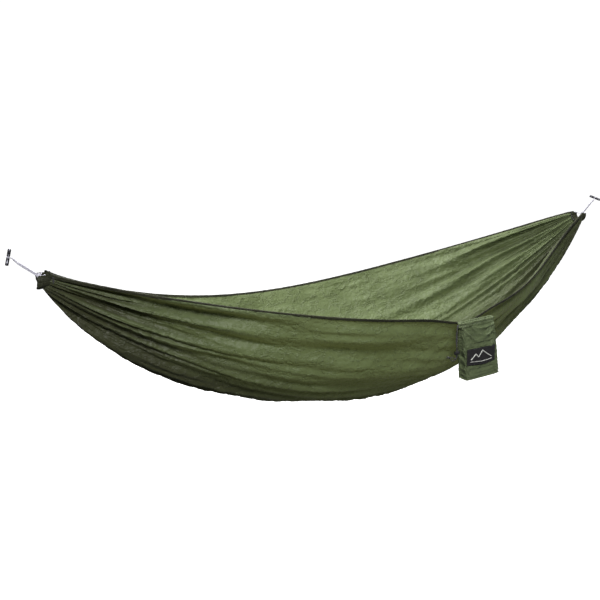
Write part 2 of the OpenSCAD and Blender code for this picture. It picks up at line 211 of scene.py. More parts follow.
def gathered_canopy():
    """The cloth as a grid of points. Folds fan out from both gathered ends, stand
    inside the smooth surface, and fade as the cloth opens to its full width."""
    s = (1 - np.cos(np.pi * np.linspace(0.0, 1.0, 2 * LENGTH_CELLS + 1))) / 2
    t = np.linspace(-1, 1, WIDTH_CELLS + 1)
    base = even_rows(even_rows(canopy_point(s[:, None], t[None, :]), 0)[::2], 1)
    shape = base.shape[:2]
    down = np.linspace(0, 1, shape[0])[:, None]
    over = np.linspace(0, 1, shape[1])[None, :]
    width = np.linalg.norm(np.diff(base, axis=1), axis=-1).sum(1)[:, None]
    fullness = FLAT_WIDTH / width
    end_side = np.where(down < 0.5, 0.0, 1.0) + 0 * over
    base = base + gather_flare(np.minimum(down, 1 - down) * FLAT_LENGTH, 2 * over - 1, end_side)
    inward = -grid_normals(base)
    middle = base.mean(1, keepdims=True)
    inward *= np.sign(((middle - base) * inward).sum(-1).mean())
    from_end = np.minimum(down, 1 - down) * FLAT_LENGTH
    side = np.where(down < 0.5, 0.0, 1.0)
    depth = np.zeros(shape)
    rng = np.random.default_rng(8)
    hollow = np.zeros(shape)
    for folds, share, sharp, reach, seed in FOLD_ROWS:
        for end in SIDES:
            wander = smooth_noise(shape, (3.0, folds / 2.2), 10 * seed + end) * 1.1
            drift = (0.6 * (1 - np.exp(-from_end / 0.5))
                     * smooth_noise(shape, (5.0, folds / 3), 10 * seed + 5 + end))
            phase = 2 * np.pi * folds * over + wander + drift + rng.uniform(0, 6)
            # each fold has its own size and its own length
            strength = 0.35 + 1.1 * soft_noise(shape, (1.2, folds * 0.9), 10 * seed + 7 + end)
            length = reach * (0.55 + 0.9 * soft_noise((1, shape[1]), (1, folds * 0.7), 10 * seed + 9 + end))
            fade = np.exp(-(from_end / length) ** 2.2) * np.abs(side - (1 - end))
            spacing = width / folds
            fill = 1 - np.exp(-1.3 * (fullness - 1))
            start = np.clip(from_end / 0.05, 0.45, 1) if seed < 3 else 1.0
            valley = fold_depth(phase, sharp)
            depth += share * spacing * fill * strength * fade * start * valley
            # painted shade in the fold valleys; the far side is seen from inside, where a fold shows its other
            # face, so there the ridges get a weaker painted shade
            inside = np.clip((over - 0.5) / 0.1, 0, 1)
            hollow += (fade * fill * strength * (valley * (1 - inside) + 0.34 * (1 - valley) ** 3 * inside)
                       * FOLD_SHADE)
    # slow swells along the belly, and drag folds that the sack pulls in the near side
    swell = smooth_noise(shape, (2.4, 8.0), 71) * 0.0048 + smooth_noise(shape, (4.0, 20.0), 72) * 0.0034
    mid = np.clip(from_end / 0.5, 0, 1)
    depth += swell * mid * (1 - 0.65 * np.clip((over - 0.5) / 0.12, 0, 1))
    across_m, along_m = over * FLAT_WIDTH, (down - 0.556) * FLAT_LENGTH
    for slope, gap, size in DRAG_FOLDS:
        line = gap * 0.3 - along_m * slope / 1.0
        off = (across_m - line) / (0.016 + 0.10 * np.abs(along_m))
        near = np.exp(-((across_m + np.abs(along_m)) / 0.36) ** 2) * np.clip(across_m / 0.05, 0, 1)
        depth += size * near * np.exp(-off ** 2) * (np.sign(slope) * -along_m > -0.02)
    rim = np.clip(np.minimum(over, 1 - over) * FLAT_WIDTH / 0.05, 0, 1) ** 0.7
    depth = depth * (rim * (1 - 0.75 * np.exp(-from_end / 0.05)) + 0.75 * np.exp(-from_end / 0.05))
    depth[:, [0, -1]] = 0
    # painted shade: darker near the gathered ends, less on the far side seen from inside, and darker on the lower
    # belly
    painted_shade = (END_SHADE * np.exp(-(from_end / (0.42 + 0.16 * side)) ** 1.5)
               * (1 - 0.85 * np.clip((over - 0.5) / 0.2, 0, 1)))
    low = (LOW_SHADE * np.clip((over - 0.17) / 0.25, 0, 1) * np.clip((0.72 - over) / 0.17, 0, 1)
           * np.clip(1.22 - down, 0.25, 1))
    # the second result is the painted shade of each point
    return base + inward * depth[..., None], np.clip(hollow * rim + painted_shade + low, 0, 1)


def crinkled(points):
    """Adds the fine creases of light nylon."""
    shape = points.shape[:2]
    down = np.linspace(0, 1, shape[0])[:, None]
    over = np.linspace(0, 1, shape[1])[None, :]
    bend = 0.5 * smooth_noise(shape, (9, 6), 10)
    creases = np.zeros(shape)
    for cells, height, sharp, seed in CREASE_ROWS:
        field = smooth_noise(shape, cells, seed) + bend
        creases += height * np.exp(-np.abs(field) * sharp)
    patchy = 0.35 + 0.9 * soft_noise(shape, (8, 5), 14)
    end = np.clip(np.minimum(down, 1 - down) / 0.10, 0.12, 1)
    creases *= patchy * end * np.clip(np.minimum(over, 1 - over) / 0.015, 0, 1)
    return points + grid_normals(points) * creases[..., None]


def grid_mesh(name, points, closed=False):
    """Mesh of a grid of points, with a UV map in cloth shares."""
    rows, columns = points.shape[:2]
    index = np.arange(rows * columns).reshape(rows, columns)
    if closed:
        index = np.concatenate([index, index[:, :1]], 1)
    faces = np.stack([index[:-1, :-1], index[1:, :-1], index[1:, 1:], index[:-1, 1:]], -1).reshape(-1, 4)
    mesh = bpy.data.meshes.new(name)
    mesh.from_pydata(points.reshape(-1, 3).tolist(), [], faces.tolist())
    mesh.polygons.foreach_set("use_smooth", np.ones(len(faces), bool))
    u = np.linspace(0, 1, rows)[:, None] + np.zeros((1, index.shape[1]))
    v = np.linspace(0, 1, index.shape[1])[None, :] + np.zeros((rows, 1))
    uv = np.stack([u, v], -1)
    corners = np.stack([uv[:-1, :-1], uv[1:, :-1], uv[1:, 1:], uv[:-1, 1:]], -2).reshape(-1, 2)
    layer = mesh.uv_layers.new(name="cloth")
    layer.data.foreach_set("uv", corners.ravel())
    piece = bpy.data.objects.new(name, mesh)
    bpy.context.scene.collection.objects.link(piece)
    return piece


def add_shade(piece, shade):
    """Stores the painted shade at each point: how much darker the cloth is painted in fold valleys, near the
    gathered ends and on the lower belly.
    """
    layer = piece.data.attributes.new("painted_cloth_shade", "FLOAT", "POINT")
    layer.data.foreach_set("value", np.asarray(shade, np.float32).ravel())


# ---- mesh helpers ----
def unit(v):
    v = np.asarray(v, float)
    return v / np.linalg.norm(v)


def sweep_frames(path, closed=False):
    """Two directions across a path at each of its points, without twist."""
    path = np.asarray(path, float)
    if closed:
        way = np.roll(path, -1, 0) - np.roll(path, 1, 0)
    else:
        way = np.gradient(path, axis=0)
    way /= np.linalg.norm(way, axis=1, keepdims=True)
    side = np.cross(way[0], (0.13, 0.21, 0.97) if abs(way[0][2]) < 0.9 else (1, 0.1, 0))
    sides = []
    for w in way:
        side = unit(side - w * side.dot(w))
        sides.append(side)
    sides = np.array(sides)
    return way, sides, np.cross(way, sides)


def tube(name, path, radius, around=14, rounded=True, strands=0, strand_depth=0.0, pitch=0.01):
    """Swept round cord; strands twist round it as a shallow relief."""
    path = np.asarray(path, float)
    radius = np.broadcast_to(np.asarray(radius, float), (len(path),)).copy()
    way, side, over = sweep_frames(path)
    if rounded:
        r0, r1 = radius[0], radius[-1]
        caps = np.array((0.0, 0.35, 0.65, 0.88))
        head = [(path[0] - way[0] * r0 * math.sqrt(1 - c * c) * 0.9, r0 * max(c, 0.02), 0) for c in caps]
        tail = [(path[-1] + way[-1] * r1 * math.sqrt(1 - c * c) * 0.9, r1 * max(c, 0.02), -1)
                for c in caps[::-1]]
        radius = np.concatenate([[h[1] for h in head], radius, [h[1] for h in tail]])
        side = np.concatenate([[side[0]] * 4, side, [side[-1]] * 4])
        over = np.concatenate([[over[0]] * 4, over, [over[-1]] * 4])
        path = np.concatenate([[h[0] for h in head], path, [h[0] for h in tail]])
    run = np.concatenate([[0], np.cumsum(np.linalg.norm(np.diff(path, axis=0), axis=1))])
    angle = np.linspace(0, 2 * np.pi, around, endpoint=False)[None, :]
    relief = 0
    if strands:
        left = np.abs(np.sin(strands / 2 * (angle - 2 * np.pi * run[:, None] / pitch)))
        right = np.abs(np.sin(strands / 2 * (angle + 2 * np.pi * run[:, None] / pitch)))
        relief = strand_depth * (np.maximum(left, right) - 1)
    r = radius[:, None] * (1 + relief)
    points = (path[:, None] + r[..., None] * (np.cos(angle)[..., None] * side[:, None]
                                              + np.sin(angle)[..., None] * over[:, None]))
    return grid_mesh(name, points, closed=True)


def smooth_path(knots, count):
    """Evenly spaced points on a smooth curve through a few knots."""
    knots = np.asarray(knots, float)
    padded = np.concatenate([2 * knots[:1] - knots[1:2], knots, 2 * knots[-1:] - knots[-2:-1]])
    fine = []
    for i in range(len(knots) - 1):
        a, b, c, d = padded[i:i + 4]
        for u in np.linspace(0, 1, 24, endpoint=False):
            fine.append(0.5 * (2 * b + (c - a) * u + (2 * a - 5 * b + 4 * c - d) * u ** 2
                               + (3 * b - a - 3 * c + d) * u ** 3))
    fine.append(knots[-1])
    fine = np.array(fine)
    run = np.concatenate([[0], np.cumsum(np.linalg.norm(np.diff(fine, axis=0), axis=1))])
    even = np.linspace(0, run[-1], count)
    return np.stack([np.interp(even, run, fine[:, k]) for k in range(3)], 1)


def lathe(name, profile, origin, axis, around=48):
    """Turned solid: profile is a list of (distance along the axis, radius)."""
    profile = np.asarray(profile, float)
    axis = unit(axis)
    side = unit(np.cross(axis, (0, 1, 0) if abs(axis[1]) < 0.8 else (1, 0, 0)))
    over = np.cross(axis, side)
    angle = np.linspace(0, 2 * np.pi, around, endpoint=False)
    ring = np.cos(angle)[:, None] * side + np.sin(angle)[:, None] * over
    points = np.asarray(origin) + profile[:, :1, None] * axis + profile[:, 1:, None] * ring[None]
    return grid_mesh(name, points, closed=True)


def join(name, pieces):
    """One object out of several mesh pieces."""
    rows, faces, uvs, start = [], [], [], 0
    for piece in pieces:
        mesh = piece.data
        rows += [v.co[:] for v in mesh.vertices]
        faces += [[start + i for i in p.vertices] for p in mesh.polygons]
        uvs += [d.uv[:] for d in mesh.uv_layers[0].data]
        start = len(rows)
        bpy.data.objects.remove(piece)
    mesh = bpy.data.meshes.new(name)
    mesh.from_pydata(rows, [], faces)
    mesh.polygons.foreach_set("use_smooth", np.ones(len(faces), bool))
    mesh.uv_layers.new(name="cloth").data.foreach_set("uv", np.array(uvs).ravel())
    whole = bpy.data.objects.new(name, mesh)
    bpy.context.scene.collection.objects.link(whole)
    return whole


# ---- materials ----
class Paint:
    """A node material that is built up one node at a time."""

    def __init__(self, name):
        self.material = bpy.data.materials.new(name)
        self.material.use_nodes = True
        self.tree = self.material.node_tree
        self.surface = self.tree.nodes["Principled BSDF"]
        self.out = self.tree.nodes["Material Output"]
        self.place = self.add("ShaderNodeTexCoord")

    def add(self, kind, values=(), **settings):
        node = self.tree.nodes.new(kind)
        for key, value in settings.items():
            setattr(node, key, value)
        for key, value in dict(values).items():
            node.inputs[key].default_value = value
        return node

    def link(self, a, b):
        self.tree.links.new(a, b)

    def set(self, **values):
        for key, value in values.items():
            self.surface.inputs[key.replace("_", " ")].default_value = value

    def scaled(self, output, scale):
        mapping = self.add("ShaderNodeMapping", {"Scale": scale})
        self.link(output, mapping.inputs["Vector"])
        return mapping.outputs["Vector"]

    def noise(self, vector, scale, detail=2.0, roughness=0.5):
        node = self.add("ShaderNodeTexNoise", {"Scale": scale, "Detail": detail, "Roughness": roughness})
        self.link(vector, node.inputs["Vector"])
        return node.outputs["Fac"]

    def wave(self, vector, scale, direction, distortion=0.0):
        node = self.add("ShaderNodeTexWave", {"Scale": scale, "Distortion": distortion},
                        bands_direction=direction)
        self.link(vector, node.inputs["Vector"])
        return node.outputs["Fac"]

    def math(self, operation, a, b):
        node = self.add("ShaderNodeMath", operation=operation)
        for socket, value in zip(node.inputs, (a, b)):
            if isinstance(value, (int, float)):
                socket.default_value = value
            else:
                self.link(value, socket)
        return node.outputs[0]

    def ramp(self, factor, stops):
        node = self.add("ShaderNodeValToRGB")
        node.color_ramp.elements[0].position, node.color_ramp.elements[0].color = stops[0][0], (*stops[0][1],
                                                                                                1)
        node.color_ramp.elements[1].position, node.color_ramp.elements[1].color = stops[-1][0], (*stops[-1][1], 1)
        for position, colour in stops[1:-1]:
            node.color_ramp.elements.new(position).color = (*colour, 1)
        self.link(factor, node.inputs["Fac"])
        return node.outputs["Color"]

    def bump(self, height, strength, distance, below=None):
        node = self.add("ShaderNodeBump", {"Strength": strength, "Distance": distance})
        self.link(height, node.inputs["Height"])
        if below is not None:
            self.link(below, node.inputs["Normal"])
        return node.outputs["Normal"]


def nylon(name, dark, mid, light, through, see_through, roughness):
    """Thin woven nylon: satin, finely crinkled, and lets some light through; painted shade from the mesh
    attribute and along the crease lines darkens its colour.
    """
    paint = Paint(name)
    spot = paint.place.outputs["Object"]
    broad = paint.noise(spot, 7.0, 3.0, 0.6)
    crinkle = paint.noise(spot, 55.0, 4.0, 0.6)
    # thin crease lines, used as bumps and also painted darker: painted shade in the creases
    ridge = paint.math("ABSOLUTE", paint.math("SUBTRACT",
                                              paint.noise(paint.scaled(spot, (0.55, 1.0, 1.0)), 24.0, 4.0,
                                                          0.55), 0.5), 0.0)
    line = paint.math("MULTIPLY", paint.math("SUBTRACT", 0.034, ridge), 30.0)
    line = paint.math("MAXIMUM", line, 0.0)
    colour = paint.ramp(broad, ((0.32, dark), (0.5, mid), (0.70, light)))
    # painted shade from the mesh attribute and the crease lines mixes the colour towards a dark olive
    painted_shade = paint.add("ShaderNodeAttribute", attribute_name="painted_cloth_shade")
    shade = paint.math("MAXIMUM", paint.math("MULTIPLY", painted_shade.outputs["Fac"], 0.86),
                       paint.math("MULTIPLY", line, 0.13))
    deep = paint.add("ShaderNodeMix", data_type="RGBA")
    paint.link(shade, deep.inputs["Factor"])
    paint.link(colour, deep.inputs[6])
    deep.inputs[7].default_value = (0.021, 0.019, 0.008, 1)
    paint.link(deep.outputs[2], paint.surface.inputs["Base Color"])
    paint.set(Roughness=roughness, Sheen_Weight=0.06, Sheen_Roughness=0.5)
    paint.surface.inputs["Specular IOR Level"].default_value = 0.26
    grain = paint.noise(spot, 260.0, 2.0, 0.5)
    warp = paint.wave(paint.scaled(paint.place.outputs["UV"], (900.0, 1.0, 1.0)), 1.0, "X")
    weft = paint.wave(paint.scaled(paint.place.outputs["UV"], (1.0, 400.0, 1.0)), 1.0, "Y")
    normal = paint.bump(crinkle, 0.70, 0.006)
    normal = paint.bump(line, 0.60, 0.0024, normal)
    normal = paint.bump(grain, 0.18, 0.0006, normal)
    normal = paint.bump(paint.math("ADD", warp, weft), 0.10, 0.0001, normal)
    paint.link(normal, paint.surface.inputs["Normal"])
    glow = paint.add("ShaderNodeBsdfTranslucent", {"Color": (*through, 1)})
    paint.link(normal, glow.inputs["Normal"])
    mix = paint.add("ShaderNodeMixShader")
    # less light comes through where shade is painted
    thin = paint.math("MULTIPLY", paint.math("SUBTRACT", 1.0, shade), see_through)
    paint.link(thin, mix.inputs["Fac"])
    paint.link(paint.surface.outputs[0], mix.inputs[1])
    paint.link(glow.outputs[0], mix.inputs[2])
    paint.link(mix.outputs[0], paint.out.inputs["Surface"])
    return paint.material


def braided(name, dark, light, ends, along):
    """Braided cord: two crossing spirals of yarn, from the piece's own UV map."""
    paint = Paint(name)
    flat = paint.scaled(paint.place.outputs["UV"], (along, ends, 1.0))
    a = paint.wave(flat, 1.0, "DIAGONAL")
    b = paint.wave(paint.scaled(flat, (1.0, -1.0, 1.0)), 1.0, "DIAGONAL")
    braid = paint.math("MAXIMUM", a, b)
    fuzz = paint.noise(paint.place.outputs["Object"], 900.0, 2.0)
    # the grooves between the yarns are painted darker: painted shade; the fuzz adds a speckle of tone
    colour = paint.ramp(paint.math("ADD", paint.math("MULTIPLY", braid, 0.7),
                                   paint.math("MULTIPLY", fuzz, 0.3)),
                        ((0.2, dark), (0.75, light)))
    paint.link(colour, paint.surface.inputs["Base Color"])
    paint.set(Roughness=0.75, Sheen_Weight=0.25)
    paint.link(paint.bump(fuzz, 0.3, 0.0003, paint.bump(braid, 0.6, 0.0004)), paint.surface.inputs["Normal"])
    return paint.material


def plain(name, dark, light, roughness, scale, metallic=0.0, bump=0.2, stretch=(1.0, 1.0, 1.0)):
    """A hard or matt surface with slight wear in its colour and gloss."""
    paint = Paint(name)
    spot = paint.scaled(paint.place.outputs["Object"], stretch)
    wear = paint.noise(spot, scale, 3.0, 0.6)
    paint.link(paint.ramp(wear, ((0.3, dark), (0.7, light))), paint.surface.inputs["Base Color"])
    gloss = paint.math("ADD", paint.math("MULTIPLY", wear, 0.2), roughness - 0.1)
    paint.link(gloss, paint.surface.inputs["Roughness"])
    paint.set(Metallic=metallic)
    fine = paint.noise(spot, scale * 9, 2.0)
    paint.link(paint.bump(fine, bump, 0.0002), paint.surface.inputs["Normal"])
    return paint.material


def make_materials():
    return {
        "canopy_cloth": nylon("canopy_cloth", (0.104, 0.134, 0.056), (0.128, 0.164, 0.070),
                              (0.154, 0.194, 0.088),
                              (0.21, 0.24, 0.060), 0.13, 0.46),
        "hem_cloth": nylon("hem_cloth", (0.016, 0.018, 0.009), (0.024, 0.026, 0.012), (0.036, 0.038, 0.018),
                           (0.04, 0.045, 0.02), 0.12, 0.6),
        "sack_cloth": nylon("sack_cloth", (0.100, 0.130, 0.061), (0.115, 0.147, 0.070), (0.133, 0.166, 0.082),
                            (0.13, 0.16, 0.05), 0.10, 0.5),
        "black_thread": braided("black_thread", (0.006, 0.006, 0.006), (0.03, 0.03, 0.03), 3.0, 60.0),
        "white_cord": braided("white_cord", (0.24, 0.23, 0.30), (0.60, 0.59, 0.66), 6.0, 16.0),
        "whipping_thread": braided("whipping_thread", (0.30, 0.29, 0.36), (0.62, 0.61, 0.68), 2.0, 40.0),
        "toggle_metal": plain("toggle_metal", (0.06, 0.06, 0.07), (0.13, 0.13, 0.15), 0.30, 60.0, 1.0, 0.25),
        "label_cloth": plain("label_cloth", (0.010, 0.009, 0.010), (0.020, 0.019, 0.021), 0.7, 90.0),
        "label_mark": plain("label_mark", (0.46, 0.47, 0.44), (0.62, 0.63, 0.58), 0.7, 90.0),
        "black_cord": braided("black_cord", (0.006, 0.006, 0.007), (0.028, 0.028, 0.032), 6.0, 60.0),
        "lock_plastic": plain("lock_plastic", (0.016, 0.016, 0.018), (0.030, 0.030, 0.033), 0.5, 120.0),
        "spring_steel": plain("spring_steel", (0.45, 0.45, 0.47), (0.62, 0.62, 0.65), 0.3, 200.0, 1.0),
    }


def finish_piece(piece, material, body, *nodes, slot=None):
    """Paints a piece, puts it on its body and lets it stand for its CAD nodes."""
    piece.data.materials.clear()
    piece.data.materials.append(MATERIALS[material])
    if body:
        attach(piece, body)
    if nodes:
        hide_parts(*nodes)
    return piece


# ---- canopy ----
def hem_band(name, t_edge, node):
    """Folded and stitched hem along a long edge."""
    count = 420
    s = (1 - np.cos(np.pi * np.linspace(0.004, 0.996, count))) / 2
    inner = canopy_point(s, np.full(count, t_edge * 0.985))
    edge = canopy_point(s, np.full(count, t_edge))
    way = np.gradient(edge, axis=0)
    way /= np.linalg.norm(way, axis=1, keepdims=True)
    into = inner - edge
    into -= way * (into * way).sum(1, keepdims=True)
    into /= np.linalg.norm(into, axis=1, keepdims=True)
    face = np.cross(way, into)
    run = np.concatenate([[0], np.cumsum(np.linalg.norm(np.diff(edge, axis=0), axis=1))])
    rng = np.random.default_rng(21 if t_edge < 0 else 22)
    pucker = np.interp(run, np.arange(0, 2.8, 0.009), rng.uniform(-1, 1, len(np.arange(0, 2.8, 0.009))))
    bunched = np.exp(-np.minimum(run, run[-1] - run) / 0.16)
    half_width = HEM_WIDTH / 2 * (1 + 0.10 * pucker + 0.25 * bunched)
    half_thick = HEM_THICK / 2 * (1 + 0.22 * np.roll(pucker, 7) + 0.9 * bunched)
    angle = np.linspace(0, 2 * np.pi, 20, endpoint=False)
    c, d = np.cos(angle), np.sin(angle)
    width_shape = np.sign(c) * np.abs(c) ** 0.6
    # the rolled edge is fuller than the stitched side, where the hem is pinched
    thick_shape = np.sign(d) * np.abs(d) ** 0.8 * (1 - 0.42 * np.exp(-((width_shape - 0.45) / 0.2) ** 2))
    middle = edge + into * (HEM_WIDTH / 2 - 0.0045)
    points = (middle[:, None] + into[:, None] * (half_width[:, None] * width_shape)[..., None]
              + face[:, None] * (half_thick[:, None] * thick_shape)[..., None])
    piece = grid_mesh(name, points, closed=True)
    return finish_piece(piece, "hem_cloth", "canopy", node)


def end_gather(side, cloth):
    """Gathered sleeve and its stitching at one end."""
    label = ("left", "right")[side]
    inward = (1, -1)[side]
    rows = cloth if side == 0 else cloth[::-1]
    first = rows[0]
    columns = len(first)
    over = np.linspace(-1, 1, columns)
    s0 = 0.0 if side == 0 else 1.0
    base = canopy_point(np.full(columns, s0), over)
    centre = np.array((0, 0, SLEEVE_Z))
    out = base - centre
    out[:, 0] = 0
    out /= np.linalg.norm(out, axis=1, keepdims=True)
    ripple = ((first - canopy_point(np.full(columns, s0), over)) * out).sum(1)
    ripple = ripple - ripple.mean()
    # profile of the sleeve, along X from the stitches out to the end and back, and off the cloth
    turn = np.linspace(0, 2 * np.pi, 29)
    run = 0.5 + 0.5 * np.cos(turn)
    profile_x = SLEEVE_X[side] + inward * (-SLEEVE_END[side] + (0.023 + SLEEVE_END[side]) * run)
    bulge = 0.0065 * np.sin(turn) * (1 - run) ** 0.35 * (0.35 + 0.65 * (1 - run))
    rng = np.random.default_rng(31 + side)
    wobble = np.interp(np.linspace(0, 1, columns), np.linspace(0, 1, 17), rng.uniform(-1, 1, 17))
    squeeze = 0.22 + 0.35 * run
    radius = GATHER_R + ripple[None, :] * squeeze[:, None] + bulge[:, None] * (1 + 0.25 * wobble[None, :])
    flare = 0.006 * FLARE_SHARE[side] * np.exp(-((over + 0.45) / 0.5) ** 2)
    bell = 0.011 * FLARE_SHARE[side] * np.exp(-((over + 0.25) / 0.45) ** 2)
    x = profile_x[:, None] + inward * (0.0016 * wobble - flare)[None, :] * (1 - run)[:, None]
    radius = radius + bell[None, :] * (1 - run)[:, None] ** 0.7
    points = centre + out[None] * radius[..., None]
    points[..., 0] = x
    sleeve = grid_mesh(label + "_gathered_sleeve", points[:-1].transpose(1, 0, 2)[:, ::-1] if side == 0
                       else points[:-1].transpose(1, 0, 2), closed=True)
    finish_piece(sleeve, "hem_cloth", "canopy", label + "_end_sleeve")
    # stitching: a band that goes round outside the pleats
    band = []
    for dx, lift in ((0.0185, 0.0005), (0.0190, 0.0014), (0.0215, 0.0017), (0.0235, 0.0014),
                     (0.0240, 0.0005)):
        ring = centre + out * (GATHER_R + 0.0040 + 0.55 * np.maximum(ripple, -0.002) + lift)[:, None]
        ring[:, 0] = SLEEVE_X[side] + inward * (dx + 0.0006 * wobble)
        band.append(ring)
    stitches = grid_mesh(label + "_stitch_band", np.array(band))
    finish_piece(stitches, "black_thread", "canopy", label + "_sleeve_stitching")


def suspension(side):
    """Cord from the toggle to the gathered end, with its hitch and sleeve loop."""
    label = ("left", "right")[side]
    outer = (-1, 1)[side]
    mirror = np.array((-outer, 1, 1))
    offset = np.array((0 if side == 0 else SPAN, 0, 0))
    swing = offset + mirror * (SWING_RUN, 0, -SWING_DROP)
    hitch = offset + mirror * (HITCH_RUN, 0, -HITCH_DROP)
    way = unit(hitch - swing)
    across = unit(np.cross(way, (0, 1, 0)))
    aside = np.array((0.0, 1.0, 0.0))
    for k, sign in enumerate((-1, 1)):
        knots = [swing + way * along + across * sign * apart
                 for along, apart in ((0.0026, 0.0012), (0.012, 0.0018), (0.035, 0.0019))]
        knots += [hitch + way * along + across * sign * 0.0018 for along in (-0.008, 0.003)]
        path = smooth_path(knots, 90)
        strand = tube(f"{label}_suspension_strand_{k + 1}", path, CORD_R, 16, True, 8, 0.09, 0.006)
        finish_piece(strand, "white_cord", None, *([label + "_suspension_cord"] if k == 0 else []))
        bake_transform(strand)
    # cow hitch: a doubled loop of the sleeve cord that closes round the two strands
    ring_r = 0.0050
    centre = hitch - way * 0.0004
    turns = []
    for u in np.linspace(0, 4 * np.pi, 120):
        lift = 0.0026 * math.tanh((u - 2 * np.pi) * 1.2)
        turns.append(centre + way * lift + ring_r * (math.cos(u) * aside * 1.08 + math.sin(u) * across))
    ring = tube(label + "_cow_hitch", turns, 0.00145, 12, True, 6, 0.08, 0.005)
    bite = smooth_path([centre + across * ring_r + way * 0.0050 + aside * 0.0045,
                        centre + across * (ring_r + 0.0013) + way * 0.0036 + aside * 0.0022,
                        centre + across * (ring_r + 0.0022), centre + across * (ring_r + 0.0013) - way
                        * 0.0035,
                        centre + across * (ring_r - 0.001) - way * 0.0055 - aside * 0.001], 40)
    finish_piece(join(label + "_hitch", [ring, tube("bite", bite, 0.00145, 12, True, 6, 0.08, 0.005)]),
                 "white_cord", "canopy", label + "_hitch_knot")
    # the sleeve loop: one leg, the U inside the sleeve, the other leg
    middle = np.array((SLEEVE_X[side], 0, SLEEVE_Z))
    arc = [middle + GATHER_R * np.array((0, math.sin(a), -math.cos(a)))
           for a in np.linspace(-SLEEVE_ARC - 0.05, SLEEVE_ARC + 0.05, 31)]
    knot = hitch + way * 0.004
    legs = [knot + (-aside * 0.0048), (knot + arc[0]) / 2 + (0, -0.002, 0.0008)]
    other = [(knot + arc[-1]) / 2 + (0, 0.002, 0.0008), knot + aside * 0.0048]
    path = smooth_path(legs + arc + other, 260)
    finish_piece(tube(label + "_sleeve_cord", path, 0.0014, 12, True, 6, 0.08, 0.006),
                 "white_cord", "canopy", label + "_sleeve_loop")
    # splice from the toggle's eye to the swing point, with its whipping
    fold = np.array(FOLD_AT[side])
    neck = smooth_path([fold, (fold + swing) / 2, swing, swing + way * 0.0052], 40)
    thick = 0.0021 + 0.0004 * np.sin(np.linspace(0, np.pi, 40))
    finish_piece(tube(label + "_splice_neck", neck, thick, 16, True, 8, 0.10, 0.006), "white_cord", "anchors",
                 label + "_splice")
    start, end = fold + (swing - fold) * 0.30, fold + (swing - fold) * 0.78
    axis = unit(end - start)
    a = unit(np.cross(axis, (0, 1, 0)))
    b = np.cross(axis, a)
    wraps = 7
    coil = [start + (end - start) * u + 0.00262 * (math.cos(2 * np.pi * wraps * u) * a
                                                   + math.sin(2 * np.pi * wraps * u) * b)
            for u in np.linspace(0, 1, 170)]
    finish_piece(tube(label + "_whipping", coil, 0.00042, 8), "whipping_thread", "anchors", label
                 + "_splice_whipping")


def toggle(side):
    """Turned toggle bar and the cord eye that closes round its waist."""
    label = ("left", "right")[side]
    at = np.array((0 if side == 0 else SPAN, 0.0, 0.0))
    way = np.array(BAR_WAY[side])
    edge, waist_start, waist_end = BAR_LENGTH / 2, WAIST_LENGTH / 2, WAIST_LENGTH / 2 + 0.0006
    r, waist = BAR_R, WAIST_R
    half = [(0, waist), (waist_start - 0.0003, waist), (waist_start, waist + 0.0002),
            (waist_start + 0.0002, r - 0.0008),
            (waist_end - 0.0001, r - 0.0002), (waist_end + 0.0003, r), (waist_end + 0.0040, r),
            (waist_end + 0.0043, r - 0.00018),
            (waist_end + 0.0049, r - 0.00018), (waist_end + 0.0052, r), (edge - 0.0030, r),
            (edge - 0.0022, r - 0.00008),
            (edge - 0.0012, r - 0.0004), (edge - 0.0005, r - 0.0010), (edge - 0.0001, r - 0.0018),
            (edge, r - 0.0026),
            (edge, 0.0016), (edge - 0.0005, 0.0012), (edge - 0.0012, 0.0001)]
    profile = [(-z, q) for z, q in half[:0:-1]] + half
    finish_piece(lathe(label + "_toggle", profile, at, way, 64), "toggle_metal", label + "_bar", label
                 + "_toggle_bar")
    fold = np.array(FOLD_AT[side])
    reach = unit(fold - at)
    beside = np.cross(way, reach)
    eye_r = EYE_R
    path = []
    for u in np.linspace(-math.radians(150), math.radians(150), 90):
        path.append(at - eye_r * (math.cos(u) * reach - math.sin(u) * beside))
    path = np.array(path)
    first, last = path[0], path[-1]
    lead_in = smooth_path([fold - beside * 0.0006, first + (fold - first) * 0.45, first], 14)[:-1]
    lead_out = smooth_path([last, last + (fold - last) * 0.45, fold + beside * 0.0006], 14)[1:]
    loop = np.concatenate([lead_in, path, lead_out])
    radius = np.full(len(loop), EYE_CORD_R)
    piece = tube(label + "_eye", loop, radius, 18, True, 8, 0.08, 0.006)
    finish_piece(piece, "white_cord", label + "_eye", label + "_toggle_eye")


# ---- stuff sack, in its own frame: X along the mouth, -Y to the near side, Z up ----
def sack_to_world(points):
    points = np.asarray(points, float)
    c, s = math.cos(SACK_TILT), math.sin(SACK_TILT)
    x, y, z = points[..., 0], points[..., 1], points[..., 2]
    return SACK_AT + np.stack([c * x - s * z, y, s * x + c * z], -1)


def sack_half_depth(share):
    return 0.0105 + 0.0110 * np.sin(np.pi / 2 * np.clip(share / 0.55, 0, 1)) ** 0.9


def sack_outline(z, angle):
    """Point on the sack's smooth skin at a height and at an angle round it."""
    share = np.clip(-z / SACK_HEIGHT, 0, 1)
    half_w = 0.0725 + 0.0025 * share - 0.0022 * np.sin(np.pi * share)
    c, s = np.cos(angle), np.sin(angle)
    square = 0.40 - 0.20 * share
    x = half_w * np.sign(c) * np.abs(c) ** square - z * SACK_LEAN
    return np.stack([x, sack_half_depth(share) * np.sign(s) * np.abs(s) ** square, z], -1)


